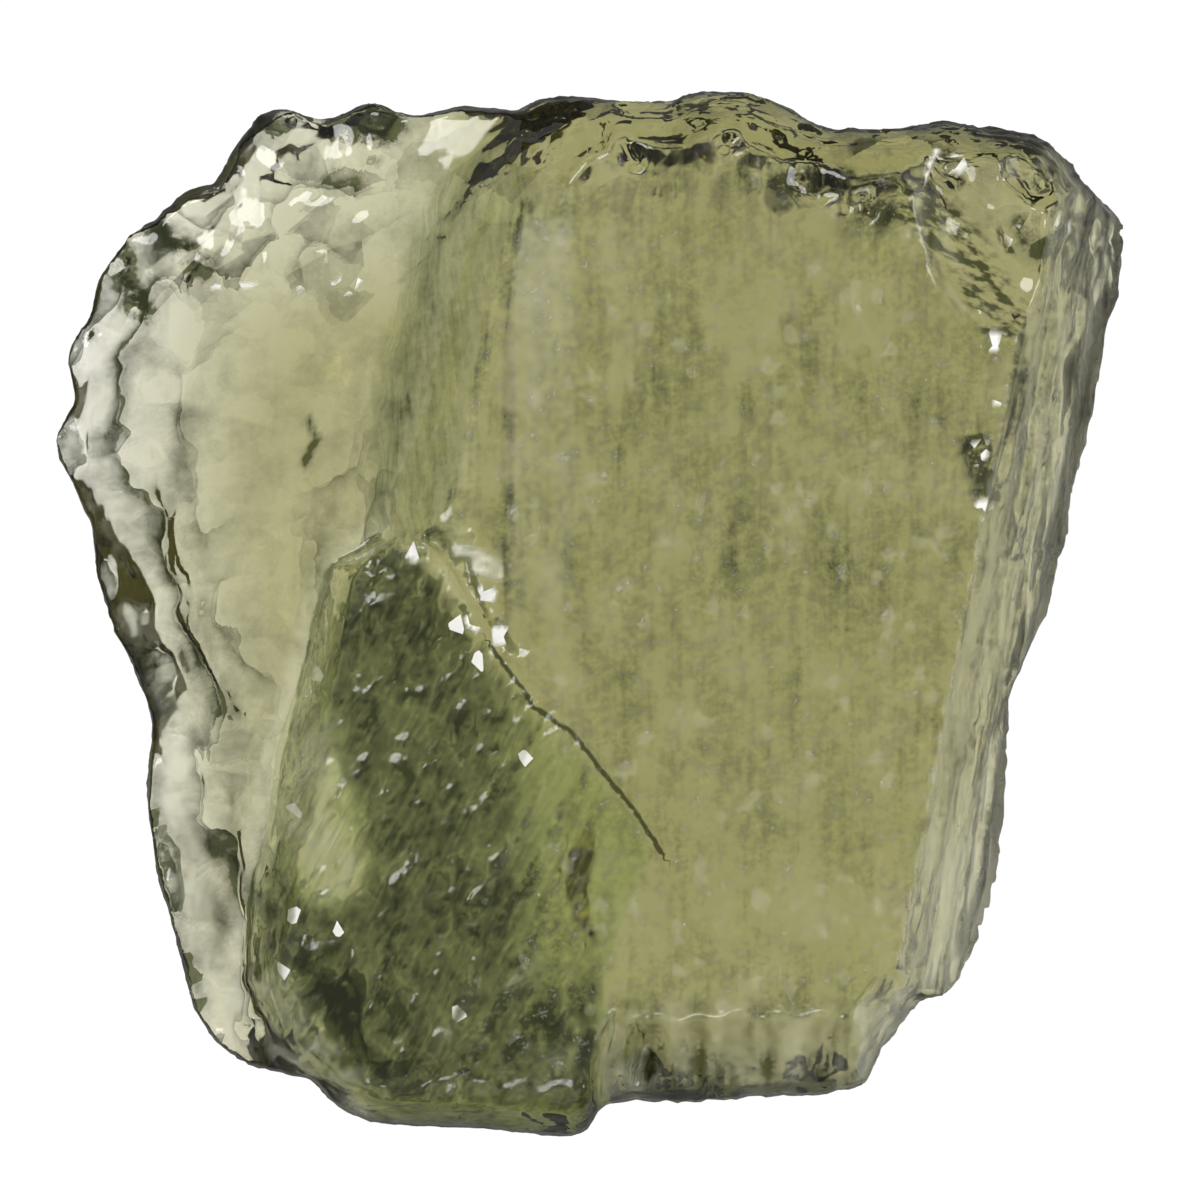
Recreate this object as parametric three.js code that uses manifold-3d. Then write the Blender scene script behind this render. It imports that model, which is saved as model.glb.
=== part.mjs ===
// A broken piece of moldavite, a natural green glass, lying on its back.
// Millimetres. +Z is up, +X is right and +Y is away from a viewer who looks down on the broad face.
// The origin is on the resting face, under the middle of the piece.
import * as THREE from "three";
import { mergeVertices } from "three/addons/utils/BufferGeometryUtils.js";
import Module from "manifold-3d";

const wasm = await Module();
wasm.setup();

// Half the side of the space that the cuts are made in, well clear of the piece.
const FAR = 16;

// Driving dimensions: heights above the resting face, and slopes in mm per mm.
const FACE_HEIGHT = 7.0;
const FACE_TILT_X = 0.012;
const RIM_HEIGHT = 2.3;
const RIM_TILT_X = -0.07;
const RIM_TILT_Y = 0.03;
const FRONT_FULLNESS = 10;
const FRONT_SHOULDER = 0.4;
const BACK_FULLNESS = 5;
const RESTING_SLICE = 0.16;

// The left shelf is a lower face, thin at the rim, one step down from the broad face.
const SHELF_HEIGHT = 5.75;
const SHELF_SLOPE_X = 0.19;
const SHELF_WALL_LEAN = 0.42;

// The shard is the rough broken corner, a little below the broad face.
const SHARD_HEIGHT = 6.75;
const SHARD_SLOPE_X = 0.12;
const SHARD_SLOPE_Y = -0.03;
const SHARD_PLEAT = { step: 0.32, length: 1.0, rise: 0.34, turn: 62 };
const SHARD_KEEL = { step: 0.64, length: 1.28, rise: 1.35, turn: 70 };

// The right side is a steep fluted bevel, and the lower edge a shorter one.
const BEVEL_EDGE = [new THREE.Vector2(5.46, -9.4), new THREE.Vector2(8.94, 8.9)];
const BEVEL_STEEPNESS = 72;
const BEVEL_PLEAT = { step: 0.25, length: 2.0, rise: 0.55, turn: 79.2 };
const FOOT_BEVEL_EDGE = [new THREE.Vector2(-FAR, -7.75), new THREE.Vector2(FAR, -7.75)];
const FOOT_BEVEL_STEEPNESS = 47;
const FOOT_PLEAT = { step: 0.4, length: 1.0, rise: 0.35, turn: 90 };

// The underside is hollowed beneath the shelf, ridged beneath the shard, and terraced at the left rim.
const HOLLOW_DEPTH = 0.7;
const HOLLOW_EDGE_X = -2.0;
const HOLLOW_RUN = 5.5;
const KEEL_MIDDLE = new THREE.Vector2(-2.8, -5.0);
const KEEL_REACH = new THREE.Vector2(3.4, 6.0);
const TERRACE_HEIGHT = 2.0;
const OUTER_TERRACE_HEIGHT = 2.55;
const TERRACE_WALL_LEAN = 1.05;

// Mesh fineness.
const SPANS_PER_RIM_POINT = 2;
const RINGS = 18;
const SHEET_STEP = 0.8;
const CHIP_SEGMENTS = 22;
const SMALLEST_DETAIL = 0.02;

const GREEN = new THREE.Color(0.30, 0.29, 0.12);

// The silhouette, counter-clockwise from the top left corner, in four stretches.
const LEFT_RIM = [
  [-6.03, 10.04], [-6.67, 9.77], [-7.17, 9.19], [-7.59, 8.47], [-8.15, 8.29], [-8.77, 7.77],
  [-9.31, 7.57], [-9.81, 6.81], [-10.09, 5.97], [-10.53, 5.13], [-10.38, 4.27], [-10.75, 3.51],
  [-10.49, 2.73], [-10.09, 1.89], [-9.97, 0.87], [-9.65, -0.09], [-9.27, -0.97], [-8.83, -2.07],
  [-8.91, -3.03], [-8.95, -3.69], [-8.81, -4.83], [-8.51, -6.01], [-8.19, -7.21], [-7.97, -7.97],
  [-7.47, -8.65], [-6.79, -9.05], [-5.71, -9.31],
];
const FOOT = [
  [-5.25, -9.77], [-4.56, -10.13], [-3.91, -10.23], [-2.31, -10.3], [-1.13, -10.43], [-0.59, -10.47],
  [-0.15, -10.32], [0.02, -9.95], [0.67, -9.78], [2.01, -9.75], [3.65, -9.67], [5.01, -9.54],
  [5.39, -9.39],
];
const RIGHT_SIDE = [
  [5.77, -8.67], [6.35, -7.91], [6.61, -7.71], [6.99, -7.65], [7.23, -7.39], [7.45, -6.69],
  [7.77, -5.77], [7.89, -5.13], [8.15, -3.93], [8.27, -3.05], [8.21, -2.17], [8.29, -1.59],
  [8.77, -0.57], [9.25, 0.53], [9.33, 1.09], [9.57, 1.41], [9.71, 2.29], [10.07, 3.17],
  [10.33, 4.29], [10.41, 5.57], [10.69, 6.67], [10.77, 7.13], [10.69, 7.71],
];
const CROWN = [
  [10.23, 8.17], [9.85, 8.55], [9.41, 9.13], [8.73, 9.61], [7.81, 9.71], [6.97, 9.87], [6.21, 9.71],
  [5.29, 9.69], [4.69, 9.71], [3.75, 10.15], [3.09, 10.43], [2.71, 10.45], [1.79, 10.37],
  [1.53, 10.25], [0.49, 10.29], [-0.49, 10.35], [-1.25, 10.23], [-1.59, 10.09], [-2.71, 10.17],
  [-3.59, 9.97], [-4.09, 10.07], [-4.63, 10.09], [-5.31, 9.89], [-5.63, 9.87],
];

// The top of the step between the broad face and the shelf, then the shard's left side, downwards.
const SHELF_STEP = [
  [-0.11, 10.6], [-1.9, 8.39], [-2.1, 7.09], [-2.5, 5.29], [-2.8, 3.49], [-3.1, 1.89], [-3.5, 1.45],
  [-4.3, 0.95], [-4.6, 0.05], [-4.85, -1.31], [-5.2, -2.71], [-5.45, -4.31], [-5.65, -5.71],
  [-5.9, -7.21], [-5.4, -8.41], [-4.8, -9.47], [-4.4, -10.6],
];
// The lip where the broad face breaks down to the shard, downwards.
const SHARD_LIP = [
  [-4.01, 1.6], [-3.1, 1.35], [-1.91, -0.51], [0.09, -2.91], [1.19, -4.71], [0.89, -5.71], [0.49, -6.51],
  [0.33, -7.71], [-0.11, -8.91], [0.0, -11],
];
// Scalloped ledges on the underside of the left rim, downwards.
const TERRACE_LEDGE = [
  [-0.71, 9.69], [-2.41, 8.29], [-3.31, 7.25], [-5.01, 6.53], [-6.51, 5.69], [-7.77, 4.99],
  [-8.09, 4.01], [-8.01, 3.17], [-8.15, 2.55], [-8.61, 2.05], [-8.85, 1.39], [-8.61, 0.83],
  [-8.05, 0.25], [-7.93, -0.39], [-7.65, -1.31], [-6.95, -2.07], [-6.81, -2.61], [-7.11, -3.35],
  [-7.21, -4.21], [-7.43, -4.67], [-6.91, -5.07], [-6.57, -5.67], [-6.75, -7.4], [-6.0, -8.6],
];
const OUTER_LEDGES = [
  [[-6.2, 9.0], [-7.0, 7.5], [-7.7, 6.8], [-8.3, 5.9], [-8.6, 5.0], [-9.1, 4.3], [-9.3, 3.4], [-9.9, 2.6],
    [-10.6, 2.3]],
  [[-9.6, -2.2], [-8.6, -2.9], [-8.1, -3.8], [-7.8, -4.9], [-7.9, -6.1], [-7.6, -7.0], [-7.2, -7.6],
    [-6.4, -8.1], [-5.7, -8.8]],
];

// Chips: where each is centred, its half widths, and its turn about Z in degrees. Most are rounded like a
// shell, and those that broke in flat-sided flakes say so.
const CORNER_CHIPS = [
  { at: [7.8, 7.5, 8.4], reach: [1.7, 2.7, 2.2], turn: 28 },
  { at: [8.9, 8.9, 7.7], reach: [1.3, 1.2, 1.7], turn: 10 },
  { at: [6.6, 8.9, 8.0], reach: [0.9, 1.4, 1.75], turn: 20, flaked: true },
  { at: [7.1, 6.5, 7.7], reach: [0.5, 1.6, 1.2], turn: 32, flaked: true },
  { at: [6.0, 9.9, 7.8], reach: [1.5, 1.3, 1.8], turn: -8 },
  { at: [4.3, 8.55, 7.9], reach: [1.3, 0.85, 1.3], turn: -8, flaked: true },
  { at: [5.3, 8.0, 7.8], reach: [0.7, 0.5, 1.15], turn: 30, flaked: true },
  { at: [3.9, 10.3, 7.9], reach: [1.6, 1.4, 1.9], turn: 24 },
  { at: [2.7, 9.6, 8.0], reach: [1.1, 0.9, 1.4], turn: -15, flaked: true },
  { at: [1.4, 10.3, 7.8], reach: [1.5, 1.2, 1.8], turn: 5 },
  { at: [0.6, 9.3, 8.0], reach: [0.9, 1.1, 1.4], turn: 30, flaked: true },
  { at: [-0.5, 10.1, 7.9], reach: [1.4, 1.3, 2.1], turn: 20 },
  { at: [-1.3, 9.3, 7.6], reach: [1.6, 0.9, 1.9], turn: 42, flaked: true },
  { at: [-2.3, 0.9, 7.9], reach: [0.7, 1.8, 1.6], turn: 14, flaked: true },
  { at: [-1.7, -0.3, 7.6], reach: [0.6, 0.9, 1.2], turn: 30, flaked: true },
  { at: [0.9, -9.2, 7.2], reach: [0.8, 1.5, 2.2], turn: -10, flaked: true },
  { at: [2.3, -10.2, 6.7], reach: [0.9, 1.5, 2.6], turn: 0, flaked: true },
  { at: [4.0, -10.2, 6.3], reach: [1.1, 1.3, 2.6], turn: 6, flaked: true },
];
const SHELF_CHIPS = [
  { at: [-6.3, 8.0, 8.0], reach: [3.1, 2.3, 3.7], turn: 24 },
  { at: [-8.4, 1.9, 7.4], reach: [2.1, 3.4, 3.4], turn: -6 },
  { at: [-8.3, -4.6, 7.2], reach: [1.5, 3.0, 3.2], turn: 8 },
  { at: [-3.4, 10.7, 6.0], reach: [1.5, 1.1, 1.4], turn: -6 },
  { at: [-5.2, 10.5, 5.6], reach: [1.3, 1.2, 1.3], turn: 10 },
  { at: [-7.3, 9.5, 5.2], reach: [1.3, 1.2, 1.2], turn: 40 },
  { at: [-9.2, 8.2, 4.8], reach: [1.2, 1.0, 1.1], turn: 40 },
  { at: [-10.6, 6.3, 4.5], reach: [1.2, 1.4, 1.1], turn: 15 },
  { at: [-11.1, 4.2, 4.4], reach: [1.3, 0.9, 1.1], turn: 0 },
  { at: [-10.9, 2.0, 4.5], reach: [1.3, 1.3, 1.1], turn: -20 },
  { at: [-10.3, -0.4, 4.6], reach: [1.3, 1.3, 1.1], turn: -20 },
  { at: [-9.4, -2.4, 4.7], reach: [1.1, 1.0, 1.1], turn: 0 },
  { at: [-9.5, -4.6, 4.7], reach: [1.2, 1.4, 1.1], turn: 8 },
  { at: [-9.0, -7.0, 4.8], reach: [1.2, 1.2, 1.1], turn: 16 },
  { at: [-7.2, -9.4, 5.0], reach: [1.6, 1.1, 1.2], turn: -35 },
];
const BEVEL_CHIPS = [
  { at: [10.4, 4.6, 3.2], reach: [0.55, 2.8, 1.7], turn: -8 },
  { at: [9.6, 0.9, 3.4], reach: [0.6, 2.6, 1.4], turn: -20 },
  { at: [8.5, -3.6, 2.6], reach: [0.6, 2.4, 1.8], turn: -6 },
  { at: [7.7, -7.9, 2.6], reach: [0.9, 1.2, 2.2], turn: -20, flaked: true },
];
const BACK_SCOOPS = [
  { at: [6.6, 3.6, -5.2], reach: [4.6, 5.4, 6.0], turn: 12 },
  { at: [4.6, -5.8, -5.3], reach: [3.9, 4.3, 6.0], turn: -20 },
  { at: [0.8, 7.4, -5.0], reach: [4.9, 3.9, 6.0], turn: 8 },
  { at: [-4.0, 5.2, -3.9], reach: [3.4, 3.6, 5.4], turn: -30 },
];

// A closed geometry as a solid that can be joined and cut.
function solid(geometry) {
  const bare = new THREE.BufferGeometry();
  bare.setAttribute("position", geometry.getAttribute("position"));
  bare.setIndex(geometry.getIndex());
  const merged = mergeVertices(bare, 1e-4);
  return new wasm.Manifold(new wasm.Mesh({
    numProp: 3,
    vertProperties: new Float32Array(merged.getAttribute("position").array),
    triVerts: new Uint32Array(merged.getIndex().array),
  }));
}

// A solid as a geometry, for a mesh.
function geometryOf(made) {
  const mesh = made.getMesh();
  const geometry = new THREE.BufferGeometry();
  geometry.setAttribute("position", new THREE.BufferAttribute(mesh.vertProperties, 3));
  geometry.setIndex(new THREE.BufferAttribute(mesh.triVerts, 1));
  geometry.computeVertexNormals();
  return geometry;
}

// A ball pulled out to the silhouette, with a full front, a rounded rim and a gently domed back.
function pulledBall() {
  const points = [...LEFT_RIM, ...FOOT, ...RIGHT_SIDE, ...CROWN];
  const rim = new THREE.CatmullRomCurve3(points.map(([x, y]) => new THREE.Vector3(x, y, 0)), true);
  const ball = new THREE.SphereGeometry(1, points.length * SPANS_PER_RIM_POINT, RINGS);
  ball.rotateX(Math.PI / 2);
  const place = ball.getAttribute("position");
  const at = new THREE.Vector3();
  for (let i = 0; i < place.count; i++) {
    at.fromBufferAttribute(place, i);
    const share = Math.min(1, Math.hypot(at.x, at.y));
    const turn = (Math.atan2(at.y, at.x) / (2 * Math.PI) + 1) % 1;
    const edge = rim.getPoint(turn);
    const x = edge.x * share;
    const y = edge.y * share;
    const rimHeight = RIM_HEIGHT + RIM_TILT_X * edge.x + RIM_TILT_Y * edge.y;
    const rise = (1 - share ** FRONT_FULLNESS) ** FRONT_SHOULDER;
    const front = rimHeight + (FACE_HEIGHT + 1 - rimHeight) * rise;
    const back = rimHeight * share ** BACK_FULLNESS;
    place.setXYZ(i, x, y, at.z >= 0 ? front : back);
  }
  return solid(ball);
}

// A prism over an outline in XY, from one height to another. Its walls lean along +X by lean per mm.
function prism(outline, low, high, lean = 0) {
  const shape = new THREE.Shape(outline.map(([x, y]) => new THREE.Vector2(x, y)));
  const body = new THREE.ExtrudeGeometry(shape, { depth: high - low, bevelEnabled: false });
  body.applyMatrix4(new THREE.Matrix4().makeShear(0, 0, 0, 0, lean, 0));
  body.translate(0, 0, low);
  return solid(body);
}

// All the space above a sheet z = height(x, y), or below it, over a square of side 2 FAR.
// The sheet's cells are length by width, and the square is turned about Z by turn degrees.
function spaceBeyond(height, isAbove, length = 2 * FAR, width = length, turn = 0) {
  const columns = Math.round((2 * FAR) / length);
  const rows = Math.round((2 * FAR) / width);
  const block = new THREE.BoxGeometry(2 * FAR, 2 * FAR, 2, columns, rows, 1);
  block.rotateZ(THREE.MathUtils.degToRad(turn));
  const place = block.getAttribute("position");
  for (let i = 0; i < place.count; i++) {
    const onSheet = place.getZ(i) > 0 !== isAbove;
    const far = isAbove ? FAR : -FAR;
    place.setZ(i, onSheet ? height(place.getX(i), place.getY(i)) : far);
  }
  return solid(block);
}

// The space beyond a pleated sheet.
function beyondPleats(height, isAbove, { step, length, turn }) {
  return spaceBeyond(height, isAbove, length, step, turn);
}

// The space outside a fluted bevel that leaves the broad face along a line, falling at a steepness.
function bevelCut([from, to], steepness, pleat) {
  const along = to.clone().sub(from).normalize();
  const outwards = new THREE.Vector2(along.y, -along.x);
  const fall = Math.tan(THREE.MathUtils.degToRad(steepness));
  const height = (x, y) => {
    const out = (x - from.x) * outwards.x + (y - from.y) * outwards.y;
    return FACE_HEIGHT - out * fall + pleatRise(pleat, x, y);
  };
  return beyondPleats(height, true, pleat);
}

// The space that a chip has left: rounded like a shell, or flat-sided where it broke in flakes.
function scoop({ at, reach, turn, flaked = false }) {
  const rounded = new THREE.SphereGeometry(1, CHIP_SEGMENTS, CHIP_SEGMENTS / 2);
  const ball = flaked ? new THREE.IcosahedronGeometry(1, 0) : rounded;
  ball.scale(...reach);
  ball.rotateZ(THREE.MathUtils.degToRad(turn));
  ball.translate(...at);
  return solid(ball);
}

// A fixed number from 0 to 1 for each row and column, scattered with no pattern.
function scatter(row, column) {
  const value = Math.sin(row * 12.9898 + column * 78.233) * 43758.5453;
  return value - Math.floor(value);
}

// The height of a pleated sheet: each second row is a broken ridge, and the rows between are valleys.
function pleatRise({ step, length, rise, turn }, x, y) {
  const angle = THREE.MathUtils.degToRad(turn);
  const row = Math.round((y * Math.cos(angle) - x * Math.sin(angle)) / step);
  const column = Math.round((x * Math.cos(angle) + y * Math.sin(angle)) / length);
  const isRidge = row % 2 === 0;
  return rise * (isRidge ? 0.55 + 0.45 * scatter(row, column) : 0.3 * scatter(row, column));
}

const broadFace = (x) => FACE_HEIGHT + FACE_TILT_X * x;
const shelfFace = (x, y) => SHELF_HEIGHT + SHELF_SLOPE_X * x + 0.06 * Math.sin(1.4 * x + 0.9 * y);
const shardFace = (x, y) =>
  SHARD_HEIGHT + SHARD_SLOPE_X * x + SHARD_SLOPE_Y * y + pleatRise(SHARD_PLEAT, x, y);

// The underside's height: a slow rise to the left, and ridges that fade away round the keel's middle.
function underside(x, y) {
  const hollow = THREE.MathUtils.smoothstep(HOLLOW_EDGE_X + 0.1 * y - x, 0, HOLLOW_RUN);
  const away = Math.hypot((x - KEEL_MIDDLE.x) / KEEL_REACH.x, (y - KEEL_MIDDLE.y) / KEEL_REACH.y);
  const keel = 1 - THREE.MathUtils.smoothstep(away, 0.65, 1);
  return RESTING_SLICE - 0.3 + (HOLLOW_DEPTH + 0.3) * hollow + keel * (0.3 + pleatRise(SHARD_KEEL, x, y));
}

// Everything left of a line that runs downwards.
function leftOf(line) {
  return [...line, [-FAR, line.at(-1)[1] - 1], [-FAR, line[0][1] + 1]];
}

function shelfCut() {
  const region = prism(leftOf(SHELF_STEP).reverse(), 0, FAR, SHELF_WALL_LEAN);
  const lowered = region.translate([-SHELF_WALL_LEAN * FACE_HEIGHT, 0, 0]);
  return lowered.intersect(spaceBeyond(shelfFace, true, SHEET_STEP));
}

function shardRegion(low, high) {
  return prism(leftOf(SHARD_LIP).reverse(), low, high);
}

// The space under a thin terrace, up to its height, where its wall leans inwards to the ledge.
function terraceCut(line, height) {
  const region = prism(leftOf(line).reverse(), -1, height, -TERRACE_WALL_LEAN);
  return region.translate([TERRACE_WALL_LEAN * (height + 1), 0, 0]);
}

function moldavite() {
  const shardPrism = shardRegion(-1, FAR);
  const cuts = [
    spaceBeyond(broadFace, true),
    bevelCut(BEVEL_EDGE, BEVEL_STEEPNESS, BEVEL_PLEAT),
    bevelCut(FOOT_BEVEL_EDGE, FOOT_BEVEL_STEEPNESS, FOOT_PLEAT).subtract(shardPrism),
    shardPrism.intersect(beyondPleats(shardFace, true, SHARD_PLEAT)),
    beyondPleats(underside, false, SHARD_KEEL),
    shelfCut(),
    terraceCut(TERRACE_LEDGE, TERRACE_HEIGHT),
    ...OUTER_LEDGES.map((ledge) => terraceCut(ledge, OUTER_TERRACE_HEIGHT)),
    ...[...CORNER_CHIPS, ...SHELF_CHIPS, ...BEVEL_CHIPS, ...BACK_SCOOPS].map(scoop),
    spaceBeyond(() => RESTING_SLICE, false),
  ];
  const stone = cuts.reduce((left, cut) => left.subtract(cut), pulledBall());
  return geometryOf(stone.asOriginal().simplify(SMALLEST_DETAIL));
}

const geometry = moldavite();
geometry.computeBoundingBox();
const middle = geometry.boundingBox.getCenter(new THREE.Vector3());
geometry.translate(-middle.x, -middle.y, -geometry.boundingBox.min.z);

const glass = new THREE.MeshStandardMaterial({
  color: GREEN,
  roughness: 0.2,
  metalness: 0,
  transparent: true,
  opacity: 0.75,
});
const stone = new THREE.Mesh(geometry, glass);
stone.name = "moldavite";

const piece = new THREE.Group();
piece.add(stone);

export default piece;
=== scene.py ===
# %% [markdown]
# # A piece of moldavite
# Moldavite is a natural green glass. This piece is broken all round: one broad satin face, a thin wavy
# rim on the left, a rough dark corner below it and a fluted bevel on the right. It is one solid, so the
# lesson has one piece: a fine skin grown over the CAD solid, and a glass made of plain transmission and
# absorption. Lengths in the modelling cells are millimetres, because the stone is only about 21 mm wide.

# %% Load the frame
import math
from types import SimpleNamespace

import bmesh
import bpy
import numpy as np
from mathutils import Matrix, Vector, kdtree


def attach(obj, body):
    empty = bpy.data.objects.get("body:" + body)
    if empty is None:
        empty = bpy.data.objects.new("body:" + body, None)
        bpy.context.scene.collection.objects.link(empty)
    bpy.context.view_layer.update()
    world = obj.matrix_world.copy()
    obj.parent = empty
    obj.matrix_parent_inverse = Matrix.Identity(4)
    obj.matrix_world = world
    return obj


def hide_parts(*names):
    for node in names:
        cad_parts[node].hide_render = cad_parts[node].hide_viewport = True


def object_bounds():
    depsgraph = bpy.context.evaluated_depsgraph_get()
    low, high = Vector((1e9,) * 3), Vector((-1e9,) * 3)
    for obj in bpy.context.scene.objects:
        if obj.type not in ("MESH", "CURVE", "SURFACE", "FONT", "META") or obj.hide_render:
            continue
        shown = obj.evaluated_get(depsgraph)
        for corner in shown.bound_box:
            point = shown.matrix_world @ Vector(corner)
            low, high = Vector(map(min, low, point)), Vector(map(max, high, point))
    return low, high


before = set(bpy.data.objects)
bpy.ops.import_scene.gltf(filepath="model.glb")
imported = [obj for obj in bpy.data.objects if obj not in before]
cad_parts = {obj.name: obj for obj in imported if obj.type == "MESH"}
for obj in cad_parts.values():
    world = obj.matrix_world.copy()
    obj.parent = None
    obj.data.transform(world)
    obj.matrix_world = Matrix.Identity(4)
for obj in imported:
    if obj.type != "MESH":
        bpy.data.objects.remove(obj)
cad_low, cad_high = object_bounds()
MM = 0.001
print("CAD box in mm", [round(v / MM, 2) for v in cad_low], [round(v / MM, 2) for v in cad_high])

# %% [markdown]
# ## Arithmetic with sockets
# Node trees are long when every Add and Multiply is written out. This small class wraps one output socket,
# so that a formula reads as a formula. Any other node goes through `make`: its type, its settings, and then
# the values or wires that feed it. It works in a shader tree and in a geometry tree alike. The last four
# methods are the textures of this stone: soft noise, the same on a plane, straight-sided cells, and scoops.


# %% A wire with operators
class Wire:
    """One output of a node tree, written with ordinary operators."""

    def __init__(self, tree, socket=None):
        self.tree = tree
        self.socket = socket

    def feed(self, socket, value):
        if isinstance(value, Wire):
            self.tree.links.new(value.socket, socket)
        else:
            socket.default_value = value

    def make(self, kind, settings=None, inputs=None, out=0):
        node = self.tree.nodes.new(kind)
        for name, value in (settings or {}).items():
            setattr(node, name, value)
        for key, value in (inputs or {}).items():
            self.feed(node.inputs[key], value)
        return Wire(self.tree, node.outputs[out])

    def math(self, operation, *values):
        return self.make("ShaderNodeMath", {"operation": operation}, dict(enumerate(values)))

    def vector_math(self, operation, *values, out=0):
        return self.make("ShaderNodeVectorMath", {"operation": operation}, dict(enumerate(values)), out)

    def __add__(self, other):
        return self.math("ADD", self, other)

    def __radd__(self, other):
        return self.math("ADD", other, self)

    def __sub__(self, other):
        return self.math("SUBTRACT", self, other)

    def __rsub__(self, other):
        return self.math("SUBTRACT", other, self)

    def __mul__(self, other):
        return self.math("MULTIPLY", self, other)

    def __rmul__(self, other):
        return self.math("MULTIPLY", other, self)

    def __pow__(self, other):
        return self.math("POWER", self, other)

    def __rpow__(self, other):
        return self.math("POWER", other, self)

    def clamp(self):
        return self.make("ShaderNodeClamp", None, {0: self})

    def between(self, low, high):
        """0 below low, 1 above high, with a smooth rise."""
        settings = {"interpolation_type": "SMOOTHSTEP"}
        return self.make("ShaderNodeMapRange", settings, {0: self, 1: low, 2: high})

    def parts(self):
        split = self.make("ShaderNodeSeparateXYZ", None, {0: self})
        return [Wire(self.tree, socket) for socket in split.socket.node.outputs]

    def vector(self, x, y, z):
        return self.make("ShaderNodeCombineXYZ", None, {0: x, 1: y, 2: z})

    def scaled(self, factor):
        return self.make("ShaderNodeVectorMath", {"operation": "SCALE"}, {0: self, 3: factor})

    def blend(self, factor, under, over, mode="MIX"):
        """Two colours, mixed or multiplied by a factor."""
        settings = {"data_type": "RGBA", "blend_type": mode}
        return self.make("ShaderNodeMix", settings, {0: factor, 6: under, 7: over}, out=2)

    def noise(self, detail, roughness, distortion=0.0):
        """Soft noise at this position, from about -0.5 to 0.5."""
        fed = {"Vector": self, "Scale": 1.0, "Detail": detail, "Roughness": roughness}
        fed["Distortion"] = distortion
        return self.make("ShaderNodeTexNoise", None, fed) - 0.5

    def flat_noise(self, detail, roughness):
        """Soft noise on a plane, which is quicker to render, from about -0.5 to 0.5."""
        fed = {"Vector": self, "Scale": 1.0, "Detail": detail, "Roughness": roughness}
        return self.make("ShaderNodeTexNoise", {"noise_dimensions": "2D"}, fed) - 0.5

    def cells(self):
        """One random value from 0 to 1 for each straight-sided cell of the plane."""
        settings = {"voronoi_dimensions": "2D"}
        shade = self.make("ShaderNodeTexVoronoi", settings, {"Vector": self, "Scale": 1.0}, out="Color")
        return shade.parts()[0]

    def scoops(self):
        """Hollows that meet in sharp ridges, from about -0.2 to 0.5."""
        near = self.make("ShaderNodeTexVoronoi", None, {"Vector": self, "Scale": 1.0}, out="Distance")
        return near * near - 0.2


print("wires ready")

# %% [markdown]
# ## A fine, even mesh
# The CAD solid has a few thousand triangles of very different sizes, which is right for a solid and wrong
# for fine relief. Subdividing it would keep the uneven sizes. So a copy of it is merged, scaled to
# millimetres and remeshed on a voxel grid, and every part of the skin has points about a tenth of a
# millimetre apart. The CAD node itself is never touched.

# %% Remesh a copy of the solid
VOXEL_MM = 0.118
MERGE_MM = 1e-4
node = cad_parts["moldavite"]
raw = bpy.data.meshes.new("stone_raw")
work = bmesh.new()
work.from_mesh(node.data)
work.transform(node.matrix_world)
bmesh.ops.scale(work, vec=Vector((1 / MM, 1 / MM, 1 / MM)), verts=work.verts)
bmesh.ops.remove_doubles(work, verts=work.verts, dist=MERGE_MM)
work.to_mesh(raw)
work.free()

stone = bpy.data.objects.new("stone", raw)
bpy.context.scene.collection.objects.link(stone)
remesh = stone.modifiers.new("even points", "REMESH")
remesh.mode = "VOXEL"
remesh.voxel_size = VOXEL_MM
remesh.use_smooth_shade = True


def apply_modifiers(thing):
    """The evaluated result as a plain mesh, with every modifier gone."""
    graph = bpy.context.evaluated_depsgraph_get()
    made = bpy.data.meshes.new_from_object(thing.evaluated_get(graph))
    thing.modifiers.clear()
    thing.data = made
    return made


skin = apply_modifiers(stone)
print("even skin:", len(skin.vertices), "points,", len(skin.polygons), "faces")

# %% [markdown]
# ## Where each kind of surface is
# A broken glass has a different texture on every face, so each point needs to know which face it is on.
# The faces could be painted by hand, but they can be told apart by their height and by the way they look:
# the broad face is the flat one on top, the bevel looks to the right, the shelf is the low part on the left,
# the shard is the rough part between them, and the back looks down. Each becomes a weight from 0 to 1. A
# pair of numbers here is the range over which a weight fades in or out.

# %% Weigh the faces
LOOKS_UP = (0.25, 0.6)
LOOKS_DOWN = (0.2, 0.6)
LOOKS_RIGHT = (0.45, 0.7)
FACE_HEIGHT = 6.84
FACE_TILT = 0.012
FACE_SLACK = (0.03, 0.10)
SHELF_HEIGHT = 5.59
SHELF_SLOPE = 0.19
SHELF_SLACK = (0.25, 0.6)
SHELF_END_X = (-3.2, -2.2)
SHARD_TOP_Y = (1.45, 1.75)
SHARD_RIGHT_X = (1.2, 1.4)
BEVEL_START_X = (4.5, 5.5)

points = np.empty(len(skin.vertices) * 3)
skin.vertices.foreach_get("co", points)
points = points.reshape(-1, 3)
normals = np.array([v.vector for v in skin.vertex_normals])
x, y, z = points.T


def rise(values, low, high):
    """0 below low, 1 above high, with a smooth rise."""
    share = np.clip((values - low) / (high - low), 0, 1)
    return share * share * (3 - 2 * share)


def fall(values, low, high):
    return 1 - rise(values, low, high)


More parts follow.
